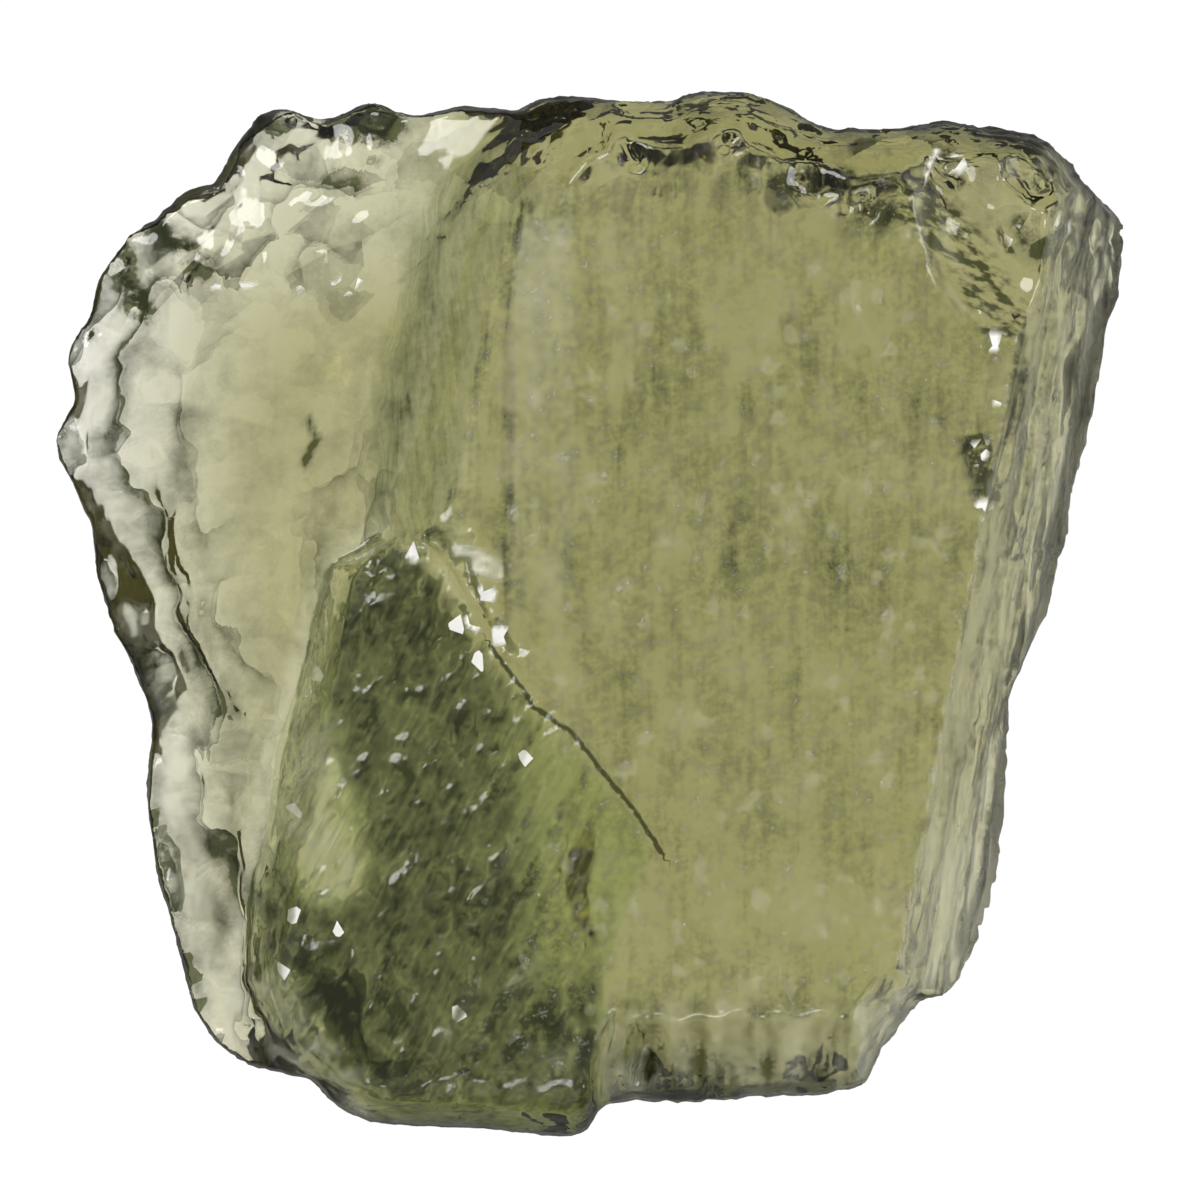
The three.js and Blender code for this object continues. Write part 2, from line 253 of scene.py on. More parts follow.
up = rise(normals[:, 2], *LOOKS_UP)
down = rise(-normals[:, 2], *LOOKS_DOWN)
on_face = fall(np.abs(z - FACE_HEIGHT - FACE_TILT * x), *FACE_SLACK)
above_shelf = rise(z - SHELF_HEIGHT - SHELF_SLOPE * x, *SHELF_SLACK)
in_corner = fall(y, *SHARD_TOP_Y) * fall(x, *SHARD_RIGHT_X)
weights = {
    "broad_face": up * on_face,
    "shard": up * (1 - on_face) * above_shelf * in_corner,
    "shelf": up * (1 - above_shelf) * fall(x, *SHELF_END_X),
    "bevel": rise(normals[:, 0], *LOOKS_RIGHT) * rise(x, *BEVEL_START_X),
    "back": down,
}
for name, values in weights.items():
    print(f"{name:11s} mean {values.mean():5.2f}")

# %% [markdown]
# ## Lines drawn on the stone
# Some marks have a place of their own: the dark step beside the shelf, the outline of the shard, the crack,
# the wavy bands along the rim, the streaks in the large chip, a few dark blots and glints. They could be
# painted on an image, but a painted image can't be read or moved afterwards. So each is a short line of
# points in X and Y, drawn one by one, and a mark is wherever the stone is close to its line.

# %% Draw the lines
# The step line also places a band of painted shade down the step.
STEP_LINE = [(-0.9, 10.2), (-1.4, 9.5), (-1.8, 8.6), (-2.5, 7.3), (-2.9, 6.0), (-3.2, 4.3), (-3.5, 1.9)]
SHARD_OUTLINE = [
    (-4.0, 1.6), (-3.3, 1.4), (-1.85, -0.7), (-0.65, -2.2), (0.15, -2.9), (0.75, -3.7), (1.3, -4.7),
    (0.55, -6.7), (0.15, -8.7), (0.5, -11.5), (-4.8, -11.0), (-5.1, -9.6), (-6.8, -7.4), (-6.6, -5.7),
    (-6.0, -2.5), (-5.4, -0.7), (-4.9, 0.9), (-4.0, 1.6),
]
PALE_WALLS = [[(-5.8, -2.4), (-5.2, -5.0)], [(-6.5, -7.6), (-5.0, -9.8)]]
CRACK_LINE = [(-1.98, -0.64), (-1.1, -1.84), (-0.38, -2.32), (0.18, -3.04), (0.88, -3.9), (1.36, -4.66)]
CRESCENT = [(-5.62, 3.88), (-5.48, 3.5), (-5.74, 2.98)]
DARK_BLOTS = [
    [(-8.6, 7.6), (-7.7, 7.0)], [(-5.2, 9.78), (-4.1, 9.6)], [(5.4, 9.15), (6.95, 9.1)],
    [(3.7, 8.5), (4.9, 8.6)], [(5.4, 7.95), (5.7, 7.9)], [(8.5, 7.6), (8.8, 7.2)],
    [(7.6, 3.3), (7.8, 2.4)], [(-9.4, 7.2), (-9.0, 6.0)],
]
FACE_SEAM = [(-1.68, 8.0), (-1.62, 3.5), (-1.7, -0.9)]
BEVEL_RIDGE = [(8.9, 8.0), (5.6, -9.0)]
CHIP_STREAKS = [(6.5, 8.1), (7.4, 7.1), (8.1, 5.9)]
# Painted highlights: the chip's lip, the streak and the notch facet below are painted white where the glass
# glints.
CHIP_LIP_HIGHLIGHT = [(6.86, 9.3), (6.26, 8.0), (6.22, 7.0)]
HIGHLIGHT_STREAK = [(-7.7, 6.6), (-6.2, 6.45), (-4.55, 6.65)]
NOTCH_HIGHLIGHT = [(-2.6, 1.3), (-1.9, 1.05), (-1.85, 0.8), (-2.3, 0.95)]
# The rim bands are painted shade beside the ledges of the thin rim.
RIM_BANDS = [
    [(-8.0, 4.0), (-8.1, 2.6), (-8.8, 1.4), (-8.0, 0.3), (-7.6, -1.3), (-6.8, -2.4), (-7.1, -4.2),
     (-7.4, -4.7), (-6.5, -5.7)],
    [(-8.7, 7.5), (-8.4, 6.4), (-8.7, 5.7), (-9.3, 5.1), (-9.4, 3.8), (-9.8, 3.4)],
    [(-9.1, -0.8), (-8.5, -1.6), (-8.8, -3.7), (-8.2, -4.7), (-8.1, -6.7), (-7.7, -7.7)],
    [(-7.7, -5.4), (-7.3, -6.2), (-7.5, -6.9)],
]
# Painted highlights: spots painted white where small facets glint.
GLINT_SPOTS = [
    (7.2, 8.9), (8.2, 9.2), (8.4, 7.5), (9.3, 7.7), (7.9, 5.4), (8.1, 4.3), (7.6, 3.2), (7.7, 2.1),
    (-3.5, 1.3), (-2.3, -0.1), (-1.8, -0.4), (-2.1, 0.4), (-4.8, 6.6),
]
print("rim bands:", len(RIM_BANDS), "dark blots:", len(DARK_BLOTS), "glints:", len(GLINT_SPOTS))

# %% [markdown]
# ## How near each point is
# A line has few pieces, so the distance to it is worked out for all points at once. It has a sign, and a
# shader that reads it can draw a line thinner than the mesh, because the sign changes exactly on the line.
# The silhouette has thousands of points, so there a k-d tree finds the nearest one.

# %% Measure to the drawn lines and to the rim
RIM_SLOPE = 0.15
TINY = 1e-9


def signed_distance(line):
    """The distance in XY from every point to a drawn line, negative on the line's right."""
    nearest = np.full(len(points), np.inf)
    side = np.ones(len(points))
    for (ax, ay), (bx, by) in zip(line, line[1:]):
        run_x, run_y = bx - ax, by - ay
        share = np.clip(((x - ax) * run_x + (y - ay) * run_y) / (run_x ** 2 + run_y ** 2), 0, 1)
        gap = np.hypot(x - ax - share * run_x, y - ay - share * run_y)
        hand = np.where(run_x * (y - ay) > run_y * (x - ax), 1, -1)
        side = np.where(gap < nearest, hand, side)
        nearest = np.minimum(nearest, gap)
    return nearest * side


def distance_to(*lines):
    """The distance in XY from every point to the nearest of some drawn lines."""
    return np.min([np.abs(signed_distance(line)) for line in lines], axis=0)


def inside(outline):
    """Which points are inside a closed outline in XY."""
    within = np.zeros(len(points), bool)
    for (ax, ay), (bx, by) in zip(outline, outline[1:]):
        crosses = (ay > y) != (by > y)
        within ^= crosses & (x < ax + (y - ay) * (bx - ax) / (by - ay + TINY))
    return within


def tree_distance(spots):
    """The distance in XY from every point to the nearest of many spots."""
    tree = kdtree.KDTree(len(spots))
    for index, spot in enumerate(spots):
        tree.insert((spot[0], spot[1], 0), index)
    tree.balance()
    return np.array([tree.find((px, py, 0))[2] for px, py, _ in points])


rim = tree_distance(points[np.abs(normals[:, 2]) < RIM_SLOPE])
print("farthest point from the rim", round(rim.max(), 1), "mm")

# %% [markdown]
# ## The shard and the step
# The shard is the rough dark corner. It is dark all through, apart from one clearer facet on its right and
# two pale places on its left wall. The step runs down between the shelf and the broad face. Both are seen
# through the glass, so they are zones in X and Y rather than faces. Every `rise` and `fall` names the two
# places, in millimetres, between which the weight changes.

# %% Place the shard and the step
FACET_LEAN = 0.1
FACET_CLEARS = 0.8
PALE_LESS_GREEN = 0.7
STEP_GREEN = 0.6
in_outline = inside(SHARD_OUTLINE)
to_outline = distance_to(SHARD_OUTLINE)
to_pale_walls = distance_to(*PALE_WALLS)
in_shard = in_outline * rise(to_outline, 0.0, 0.3)
clear_of_shard = (1 - in_outline) * rise(to_outline, 0.2, 0.7)
clear_facet = rise(x + FACET_LEAN * y, -2.3, -0.9) * rise(y, -8.6, -6.2)
shard_depth = in_outline * rise(to_outline, 0.0, 0.35)
shard_depth = shard_depth * (1 - FACET_CLEARS * clear_facet) * rise(to_pale_walls, 0.5, 1.1)
pale_wall = in_shard * fall(to_pale_walls, 0.3, 0.9)
step = fall(distance_to(STEP_LINE), 0.3, 0.8) * fall(y, 8.2, 9.4)
weights |= {
    "shard_depth": shard_depth,
    "pale_wall": pale_wall,
    "step": step,
    "green": np.maximum(in_shard * (1 - PALE_LESS_GREEN * pale_wall), STEP_GREEN * step),
}
print("points in the shard:", int(in_outline.sum()))

# %% [markdown]
# ## The rim, the crown and the foot
# The left rim is thin and rises in small ledges. The crown is chipped, the foot is grooved, and steep walls
# run all round. Each could be painted as a mask by hand, but the distance to the rim, the slope and the
# place in X and Y already tell them apart.

# %% Place the rim, the crown and the foot
WALL_SLOPE = (0.3, 0.7)
SIDE_CHIPS = 0.3
LEFT_EDGE_LIGHTER = 0.6
left = fall(x, -4.8, -3.2)
crown_band = rise(y, 6.6, 7.8) * fall(rim, 1.5, 2.7)
foot_right = rise(x, 0.0, 0.4)
corner_chips = left * (SIDE_CHIPS + (1 - SIDE_CHIPS) * rise(y, 5.0, 6.6))
weights |= {
    "rim_mm": rim,
    "left": left,
    "left_rim": left * fall(rim, 1.6, 3.2),
    "thin_rim": left * fall(rim, 0.5, 1.0) * rise(rim, 0.06, 0.14) * (1 - down),
    # Painted shade: the edges are darkened, less on the left.
    "edge": fall(rim, 0.05, 0.4) * (1 - LEFT_EDGE_LIGHTER * left),
    "wall": fall(np.abs(normals[:, 2]), *WALL_SLOPE),
    "corner": left * rise(y, 5.6, 7.2),
    "crown": crown_band * rise(x, -2.0, -1.0),
    "chipped": np.maximum(corner_chips, crown_band) * (1 - in_shard),
    "foot": fall(y, -8.2, -7.4) * foot_right,
    "foot_edge": fall(y, -8.9, -8.3) * foot_right * fall(x, 4.2, 5.2),
}
print("points on steep walls:", int((weights["wall"] > 0.5).sum()))

# %% [markdown]
# ## Marks along the drawn lines
# A weight that falls off beside a line gives a soft mark. The crack, the rim bands and the blots have to be
# crisp or ragged, so for those the distance itself is kept, and the glass and the relief draw the edge.

# %% Place the marks
# Painted sheen: a pale band down the broad face, painted where it mirrors the room, fainter lower down.
LOWER_SHEEN = 0.4
sheen_strength = LOWER_SHEEN + (1 - LOWER_SHEEN) * rise(y, 4.0, 5.4)
sheen_ends = rise(y, -1.0, 1.0) * fall(y, 7.6, 8.2)
sheen_sides = rise(x, -1.75, -1.6) * fall(x, -0.55, -0.2)
# Painted highlights: the glint spots, the streak and the chip's lip are painted white.
glint_spots = fall(tree_distance(GLINT_SPOTS), 0.16, 0.24)
highlight_streak = fall(distance_to(HIGHLIGHT_STREAK), 0.02, 0.09)
chip_lip_highlight = fall(distance_to(CHIP_LIP_HIGHLIGHT), 0.01, 0.06)
weights |= {
    "crack": up * fall(distance_to(CRACK_LINE), 0.2, 0.4),
    "crack_mm": signed_distance(CRACK_LINE),
    "band_mm": distance_to(*RIM_BANDS),
    "blot_mm": distance_to(*DARK_BLOTS),
    "crescent": up * fall(distance_to(CRESCENT), 0.04, 0.14),
    "chip_streaks": (1 - down) * fall(distance_to(CHIP_STREAKS), 0.3, 0.65),
    "ridge": up * fall(distance_to(BEVEL_RIDGE), 0.2, 0.9),
    "seam": up * fall(distance_to(FACE_SEAM), 0.03, 0.14),
    "painted_sheen_band": up * on_face * sheen_sides * sheen_ends * sheen_strength,
    "notch_highlight": up * fall(distance_to(NOTCH_HIGHLIGHT), 0.05, 0.16),
    "glint": up * np.maximum(glint_spots, np.maximum(highlight_streak, chip_lip_highlight)),
}
print("points that may glint:", int((weights["glint"] > 0.5).sum()))

# %% [markdown]
# ## Which way the strokes run
# The fine lines of the stone run upright on the broad face, lean in the shard and lie across the large chip.
# A noise that is stretched along X or Y can't turn, so each point stores its own two coordinates, `across`
# and `along` the strokes, and one stretched noise then follows them everywhere.

# %% Turn the strokes
UPRIGHT = 90
SHARD_TURN = 62
SHARD_SHARE = 0.3
CHIP_TURN = -26
CHIP_REACH = 0.85
CHIP_STROKE_ACROSS = 0.6
CHIP_STROKE_ALONG = 3.0
in_chip = distance_to(CHIP_STREAKS) < CHIP_REACH
turn = np.where(in_chip, CHIP_TURN, np.where(in_shard > SHARD_SHARE, SHARD_TURN, UPRIGHT))
turn = np.radians(turn)
weights |= {
    "across": (x * np.sin(turn) - y * np.cos(turn)) * np.where(in_chip, CHIP_STROKE_ACROSS, 1),
    "along": (x * np.cos(turn) + y * np.sin(turn)) * np.where(in_chip, CHIP_STROKE_ALONG, 1),
}
print("points in the large chip:", int(in_chip.sum()))

# %% [markdown]
# ## How deep the colour is
# Thick glass is greener than thin glass. A volume that absorbs light does that by itself, but with all of
# the green in the volume the stone turns black when it is looked through edgeways. So a part of the green is
# a tint of the surface, `deeper`, that grows from the rim inwards and is full under the broad face.

# %% Deepen the colour
RIM_DEPTH = 0.15
DEPTH_PER_MM = 0.11
MOST_FROM_RIM = 0.6
BODY_DEPTH = 0.6
SHELF_DEPTH = 0.6
CORNER_DEPTH = 0.24
CREAM_DEPTH = 0.4
from_rim = np.clip(RIM_DEPTH + DEPTH_PER_MM * rim, 0, MOST_FROM_RIM)
body = BODY_DEPTH * np.maximum(from_rim, np.maximum(rise(x, -3.2, -2.0), in_shard))
shelf_middle = fall(x, -3.4, -2.6) * rise(x, -9.4, -6.0) * clear_of_shard * fall(y, 5.6, 7.4)
upper_corner = fall(x, -2.6, -1.8) * rise(y, 5.6, 7.4)
cream_patch = rise(x, -4.2, -2.8) * fall(x, -1.6, -0.8) * rise(y, 8.0, 9.0)
extra = SHELF_DEPTH * shelf_middle + CORNER_DEPTH * upper_corner + CREAM_DEPTH * cream_patch
weights["deeper"] = np.clip(body + up * extra, 0, 1)
print("mean depth of colour", round(weights["deeper"].mean(), 2))

# %% [markdown]
# ## Where the stone is rounded
# A steep wall inside glass mirrors the light away and shows as a black band. The real stone has no such
# band at its step, so `soften` marks the step and the back below it, and the relief tree blurs the places
# of those points. The shard is left almost sharp. The weights are then stored on the points as attributes,
# so that both the relief and the glass can read them.

# %% Mark the soft places and store the weights
STEP_WALL_SHIFT = 0.45
SHARD_SOFTNESS = 0.03
step_foot = [(px - STEP_WALL_SHIFT, py) for px, py in STEP_LINE]
step_wall = fall(distance_to(step_foot), 1.1, 1.7) * (1 - down)
soften = np.maximum(down * fall(x, -1.2, 0.2), clear_of_shard * np.maximum(left, step_wall))
soften = np.maximum(soften, SHARD_SOFTNESS * in_shard * up)
weights["soften"] = soften * rise(rim, 0.05, 0.3)
for name, values in weights.items():
    layer = skin.attributes.new(name, "FLOAT", "POINT")
    layer.data.foreach_set("value", values.astype(np.float32))
print("attributes:", len(weights))

# %% [markdown]
# ## Noises for the relief
# The relief follows the surface everywhere, so Geometry Nodes makes it. Sculpting by hand could do it too,
# but a tree can be changed by one number. Stretched noise gives lines: a noise read at 3.4 x and 0.45 y
# changes fast across and slowly along. Broken glass also has shell-shaped scars, and the squared distance to
# the nearest of many scattered points gives those: round hollows that meet in sharp ridges. Each noise is
# read at a depth of its own, so that no two look alike. The first two numbers of a noise are its rates per
# millimetre, and the last ones are its detail, its roughness and how far it is bent.

# %% Mix the noises
LEDGES_PER_MM = 0.8
LEDGE_WANDER = 3.4
BAND_RAGGED = 0.9
BLOT_RAGGED = 0.8
LEFT_BACK_CALMER = 0.7


def relief_noises(start, on, place, seed):
    """The noises and slow changes that the relief and the markings share, by name."""
    px, py, pz = place.parts()

    def stretched(rate_x, rate_y, depth):
        return start.vector(px * rate_x, py * rate_y, depth)

    def stroked(rate_across, rate_along, depth):
        return start.vector(on["across"] * rate_across, on["along"] * rate_along, depth)

    noise = SimpleNamespace()
    noise.lines = stretched(3.4, 0.45, seed).noise(4.0, 0.7)
    noise.mottle = stretched(0.9, 0.6, seed + 4.0).noise(6.0, 0.72)
    noise.flakes = stroked(2.2, 0.9, seed + 9.0).scoops()
    noise.lumps = stretched(1.9, 1.6, pz + seed + 5.0).noise(5.0, 0.68, 0.9)
    noise.streaks = stroked(3.4, 1.0, seed + 13.0).noise(4.0, 0.7)
    noise.flutes = stretched(2.4, 0.3, pz * 1.6 + seed).noise(4.0, 0.65, 0.4)
    noise.ripples = stretched(0.8, 0.7, seed + 17.0).noise(4.0, 0.55, 0.6)
    noise.scars = stretched(0.75, 0.75, pz * 0.75 + seed).scoops()
    noise.ragged = stretched(1.1, 1.4, pz + seed).noise(5.0, 0.7, 0.8)
    bent = start.vector(px * 0.9 + noise.ragged, py * 1.1 + noise.ragged, pz + seed)
    noise.small_scars = bent.scoops()
    noise.grooves = stretched(2.2, 0.35, seed + 29.0).noise(4.0, 0.65, 0.3)
    noise.wander = stretched(0.5, 0.4, seed + 31.0).noise(3.0, 0.55, 0.5)
    noise.hollows = stretched(0.42, 0.36, seed + 23.0).scoops()
    noise.pits = stretched(1.3, 1.0, seed + 27.0).noise(4.0, 0.6, 0.3)
    noise.ledge_run = on["rim_mm"] * LEDGES_PER_MM + noise.wander * LEDGE_WANDER
    noise.ledges = start.math("PINGPONG", noise.ledge_run, 0.5)
    noise.bands = 1 - (on["band_mm"] + noise.ragged * BAND_RAGGED).between(0.06, 0.4)
    noise.blots = 1 - (on["blot_mm"] + noise.ragged * BLOT_RAGGED).between(0.14, 0.36)
    noise.low = (0 - py).between(1.0, 6.0)
    noise.inward = px.between(-8.5, -4.0)
    noise.calm_left = 1 - LEFT_BACK_CALMER * (0 - px).between(-0.5, 1.5)
    return noise


print("ledges per mm:", LEDGES_PER_MM)

# %% [markdown]
# ## Heights
# Every zone has its own relief: lines and a slow mottle on the broad face, lumps and flakes in the shard,
# flutes on the bevel, scars on the corner and the crown. The heights are the tree's named inputs, in
# millimetres. A zone's height times its weight, added up over all zones, is how far a point moves.

# %% Add up the heights
RELIEF_INPUTS = {
    "Face lines": 0.06,
    "Face mottle": 0.08,
    "Shard flakes": 0.03,
    "Shard lumps": 0.42,
    "Bevel flutes": 0.20,
    "Shelf ripples": 0.16,
    "Corner scars": 0.34,
    "Crown scars": 0.20,
    "Foot grooves": 0.36,
    "Rim ledges": 0.12,
    "Wall lumps": 0.22,
    "Back scars": 0.50,
    "Back pits": 0.26,
    "Seed": 3.0,
}


def zone_sum(on, values):
    """Each zone's value times the zone's weight, added up."""
    return sum(on[zone] * value for zone, value in values.items())


def relief_height(on, noise, size):
    """How far each point moves along its normal, in millimetres."""
    back = noise.hollows * size["Back scars"] + noise.pits * size["Back pits"]
    return zone_sum(on, {
        "broad_face": noise.lines * size["Face lines"] + noise.mottle * size["Face mottle"],
        "shelf": noise.ripples * size["Shelf ripples"],
        "shard": noise.flakes * size["Shard flakes"] + noise.lumps * size["Shard lumps"],
        "bevel": noise.flutes * size["Bevel flutes"],
        "corner": noise.scars * size["Corner scars"],
        "crown": (noise.small_scars * 0.3 + noise.ragged) * size["Crown scars"],
        "foot": noise.grooves * size["Foot grooves"],
        "left_rim": noise.ledges * size["Rim ledges"],
        "wall": noise.ragged * size["Wall lumps"],
        "back": back * noise.calm_left,
    })


print("relief inputs:", len(RELIEF_INPUTS))

# %% [markdown]
# ## Tone, frost and painted light
# Rough glass loses light, and bruised glass scatters it. `tone` says how dark the surface is, and the frosted
# share how white it is. Part of the tone is painted shade, at the step, the rim bands and the edges, and part
# of the white is painted sheen and highlights, on a band of the broad face, on the bevel and on the notch.
# They could be noises of the material alone, but then they wouldn't sit in the grooves and on the lumps. So
# the relief's own noises make them. A number that stands alone is the zone's own tone or whiteness, and one
# beside a noise says how far that noise moves it.


# %% Add up the tone, the frost and the painted light
def stone_tone(on, noise):
    """How dark the surface is: 0 is clear, 1 is as dark as it gets."""
    shard = 0.77 + noise.lumps * 2.0 + noise.streaks * 0.5
    return zone_sum(on, {
        "broad_face": 0.27 - noise.low * 0.14 + noise.mottle * 1.6 + noise.lines * 1.6 + noise.wander * 0.9,
        "shelf": 0.12 + noise.inward * 0.1 + noise.ripples * 1.4 + noise.lines * 0.6,
        # Painted shade: a dark band down the step, in place of the dark that its softened slope no longer
        # makes.
        "step": 0.42 + noise.lines,
        "shard_depth": shard * (1 - on["wall"] * 0.6),
        "crown": 0.10 + noise.ragged * 1.4,
        "foot": 0.46 + noise.grooves * 2.4,
        "foot_edge": 0.4 + noise.ragged,
        "bevel": 0.24 - noise.low * 0.2 + noise.flutes * 3.4,
        "seam": 0.5,
        "chip_streaks": 0.45,
        "ridge": noise.ragged * 1.6,
        # Painted shade: dark bands along the ledges of the left rim.
        "left": noise.bands * (0.42 + noise.ragged),
        # Painted shade: darker edges and steep walls, where the glass bends light away.
        "edge": 0.3,
        "wall": 0.06 + on["green"] * 0.1,
        "crescent": 0.9,
    })


def stone_frost_and_sheen(on, noise):
    """How white the surface is, from 0 to 1: bruised glass, painted sheen and painted highlights."""
    return zone_sum(on, {
        "broad_face": noise.mottle * -0.3,
        # Painted sheen: the bevel is whitened where it mirrors the pale floor.
        "bevel": 0.15 + noise.low * 0.1 - noise.flutes * 0.7,
        "foot": (0.1 - noise.grooves * 0.8) * (1 - on["wall"] * 0.7),
        # Painted sheen: the pale band down the broad face.
        "painted_sheen_band": 0.13 + noise.lines * 0.4,
        "pale_wall": 0.08 + noise.streaks * 0.7,
        # Painted highlight: the notch facet is painted white.
        "notch_highlight": 0.7 + noise.ragged * 2.0,
        "thin_rim": (0.06 + noise.ragged * 1.2) * (1 - noise.blots),
    }).clamp()


print("tone and frost ready")

# %% [markdown]
# ## The relief tree
# The tree reads each point's weights, stores five new attributes for the glass, rounds the soft places and
# moves every point along its normal. The points are then held inside the CAD box, so that the visual model
# is never larger than the solid. It ends in Realize Instances and Set Material.

# %% Build the relief tree
SEED_STEP = 7.3
SOFTEN_PASSES = 300


def relief_tree(material):
    tree = bpy.data.node_groups.new("stone relief", "GeometryNodeTree")
    tree.interface.new_socket("Geometry", in_out="INPUT", socket_type="NodeSocketGeometry")
    for name in RELIEF_INPUTS:
        tree.interface.new_socket(name, in_out="INPUT", socket_type="NodeSocketFloat")
    tree.interface.new_socket("Geometry", in_out="OUTPUT", socket_type="NodeSocketGeometry")
    inputs = tree.nodes.new("NodeGroupInput")
    size = {name: Wire(tree, inputs.outputs[name]) for name in RELIEF_INPUTS}
    start = Wire(tree)
    number = {"data_type": "FLOAT"}
    on = {name: start.make("GeometryNodeInputNamedAttribute", number, {"Name": name}) for name in weights}
    place = start.make("GeometryNodeInputPosition")
    noise = relief_noises(start, on, place, size["Seed"] * SEED_STEP)

    kept = {
        "tone": stone_tone(on, noise),
        "frost_and_sheen": stone_frost_and_sheen(on, noise),
        "ledge_run": noise.ledge_run,
        "mottle": noise.mottle,
        "blots": noise.blots,
    }
    shell = Wire(tree, inputs.outputs[0])
    for name, value in kept.items():
        fed = {0: shell, "Name": name, "Value": value}
        shell = start.make("GeometryNodeStoreNamedAttribute", number | {"domain": "POINT"}, fed)

    push = start.make("GeometryNodeInputNormal").scaled(relief_height(on, noise, size))
    softened = start.make("GeometryNodeBlurAttribute", {"data_type": "FLOAT_VECTOR"}, {
        "Value": place, "Iterations": SOFTEN_PASSES, "Weight": on["soften"],
    })
    moved = place.vector_math("ADD", softened, push)
    held = moved.vector_math("MAXIMUM", moved, [v / MM for v in cad_low])
    held = held.vector_math("MINIMUM", held, [v / MM for v in cad_high])
    shell = start.make("GeometryNodeSetPosition", None, {0: shell, 2: held})
    whole = start.make("GeometryNodeRealizeInstances", None, {0: shell})
    dressed = start.make("GeometryNodeSetMaterial", None, {0: whole, "Material": material})
    outputs = tree.nodes.new("NodeGroupOutput")
    tree.links.new(dressed.socket, outputs.inputs[0])
    return tree


print("passes of softening:", SOFTEN_PASSES)

# %% [markdown]
# ## Marks finer than the mesh
# The strokes on the satin face, the grain, the flecks with painted glints and the hairline crack with its
# painted shade are finer than the skin's points. A bump would bend all the light that comes through and make
# clear glass look woven, so these marks only change the colour, the roughness and the white share of the
# surface. They are flat noises and cells, and their factors are rates per millimetre. A cell has straight
# sides, as a chip of glass has.

# %% Mix the fine marks
FACET_SHIFT_MM = 0.2
LEDGE_GRAIN = 0.07
CRACK_GRAIN_MM = 0.12
CRACK_EDGE_MM = (0.02, 0.07)


def fine_marks(start, weight):
    """Noises and cells of the glass, by name."""
    px, py, _ = start.make("ShaderNodeTexCoord", out="Object").scaled(1 / MM).parts()
    marks = SimpleNamespace()
    marks.strokes = start.vector(weight("across") * 9.0, weight("along") * 0.8, 0.0).flat_noise(2.0, 0.6)
    marks.grain = start.vector(px * 3.4 + py * 1.3, py * 3.8 - px * 1.2, 0.0).flat_noise(3.0, 0.72)
    shift = marks.grain * FACET_SHIFT_MM
    marks.facet = start.vector((px + shift) * 1.3, (py + shift) * 1.6, 0.0).cells()
    marks.fleck = start.vector(px * 4.6, py * 3.8, 0.0).cells()
    marks.ledge = start.math("FRACT", weight("ledge_run") + marks.grain * LEDGE_GRAIN)
    # Painted shade: a dark hairline along the crack.
    from_crack = start.math("ABSOLUTE", weight("crack_mm") + marks.grain * CRACK_GRAIN_MM)
    marks.crack = weight("crack") * (1 - from_crack.between(*CRACK_EDGE_MM))
    marks.lined = weight("broad_face") + weight("bevel")
    marks.mottled = weight("mottle")
    return marks


print("fine marks ready")

# %% [markdown]
# ## The colour of the surface
# The surface is nearly colourless where it is clean. The tone, with its painted shade, and the fine marks
# darken it towards a deep olive, the shard and the step are a cooler green, and `deeper` adds the share of
# the body's green that isn't in the volume. Painted highlights are white, where small flat chips would catch
# the
# light: many of the cells at the drawn glints, and very few in the shard and on the broad face.

# %% Tint the glass
CLEAR_TINT = (0.99, 0.98, 0.96, 1.0)
DARK_TINT = (0.030, 0.037, 0.010, 1.0)
GREEN_TINT = (0.89, 1.0, 0.76, 1.0)
DEEPER_TINT = (0.52, 0.51, 0.286, 1.0)
STROKE_STRENGTH = {"chip_streaks": 5.0, "step": 0.7, "shard": 0.5, "pale_wall": 2.0}
FACET_MIDDLE = 0.62
# Shares of cells painted white as highlights: at the drawn glints, in the shard and on the broad face.
GLINT_CELLS = (0.55, 0.57)
SHARD_CELLS = (0.985, 0.99)
FACE_CELLS = (0.94, 0.96)
FACE_FLECK_GRAIN = (0.06, 0.3)


def glass_tint(start, weight, marks):
    """Clear, dark where the stone is rough and where shade is painted, green where it is deep."""
    tone = weight("tone") + marks.lined * marks.strokes * 0.5 + marks.crack
    tone = tone + marks.grain * (0.5 + marks.lined * (1.0 + 1.6 * marks.mottled))
    tone = tone + marks.strokes * sum(weight(zone) * share for zone, share in STROKE_STRENGTH.items())
    tone = tone + weight("blots") * (marks.facet * 1.3 + marks.grain * 2.0)
    # Painted shade: each straight-sided facet of the chipped corner and crown gets a lighter or darker shade
    # of its own.
    tone = tone + weight("chipped") * (marks.facet - FACET_MIDDLE) * 0.8
    # Painted shade: each ledge of the left rim darkens to one side of its edge.
    tone = tone + weight("left_rim") * marks.ledge ** 3.0 * 0.75
    tint = start.blend(tone.clamp(), CLEAR_TINT, DARK_TINT)
    greens = (weight("green") + weight("broad_face") * (0.25 + 3.0 * marks.mottled)).clamp()
    tint = start.blend(greens, tint, GREEN_TINT, "MULTIPLY")
    return start.blend(weight("deeper"), tint, DEEPER_TINT, "MULTIPLY")


def painted_sparkle(weight, marks):
    """Painted highlights: white cells where small flat chips would catch the light."""
    # Painted reflections: small pale flecks on the broad face.
    painted_flecks = marks.grain.between(*FACE_FLECK_GRAIN) * 0.2 + marks.fleck.between(*FACE_CELLS) * 0.1
    sparkle = weight("glint") * marks.fleck.between(*GLINT_CELLS)
    sparkle = sparkle + weight("shard") * marks.fleck.between(*SHARD_CELLS) * 0.9
    return sparkle + weight("broad_face") * painted_flecks


print("zones with strokes:", len(STROKE_STRENGTH))

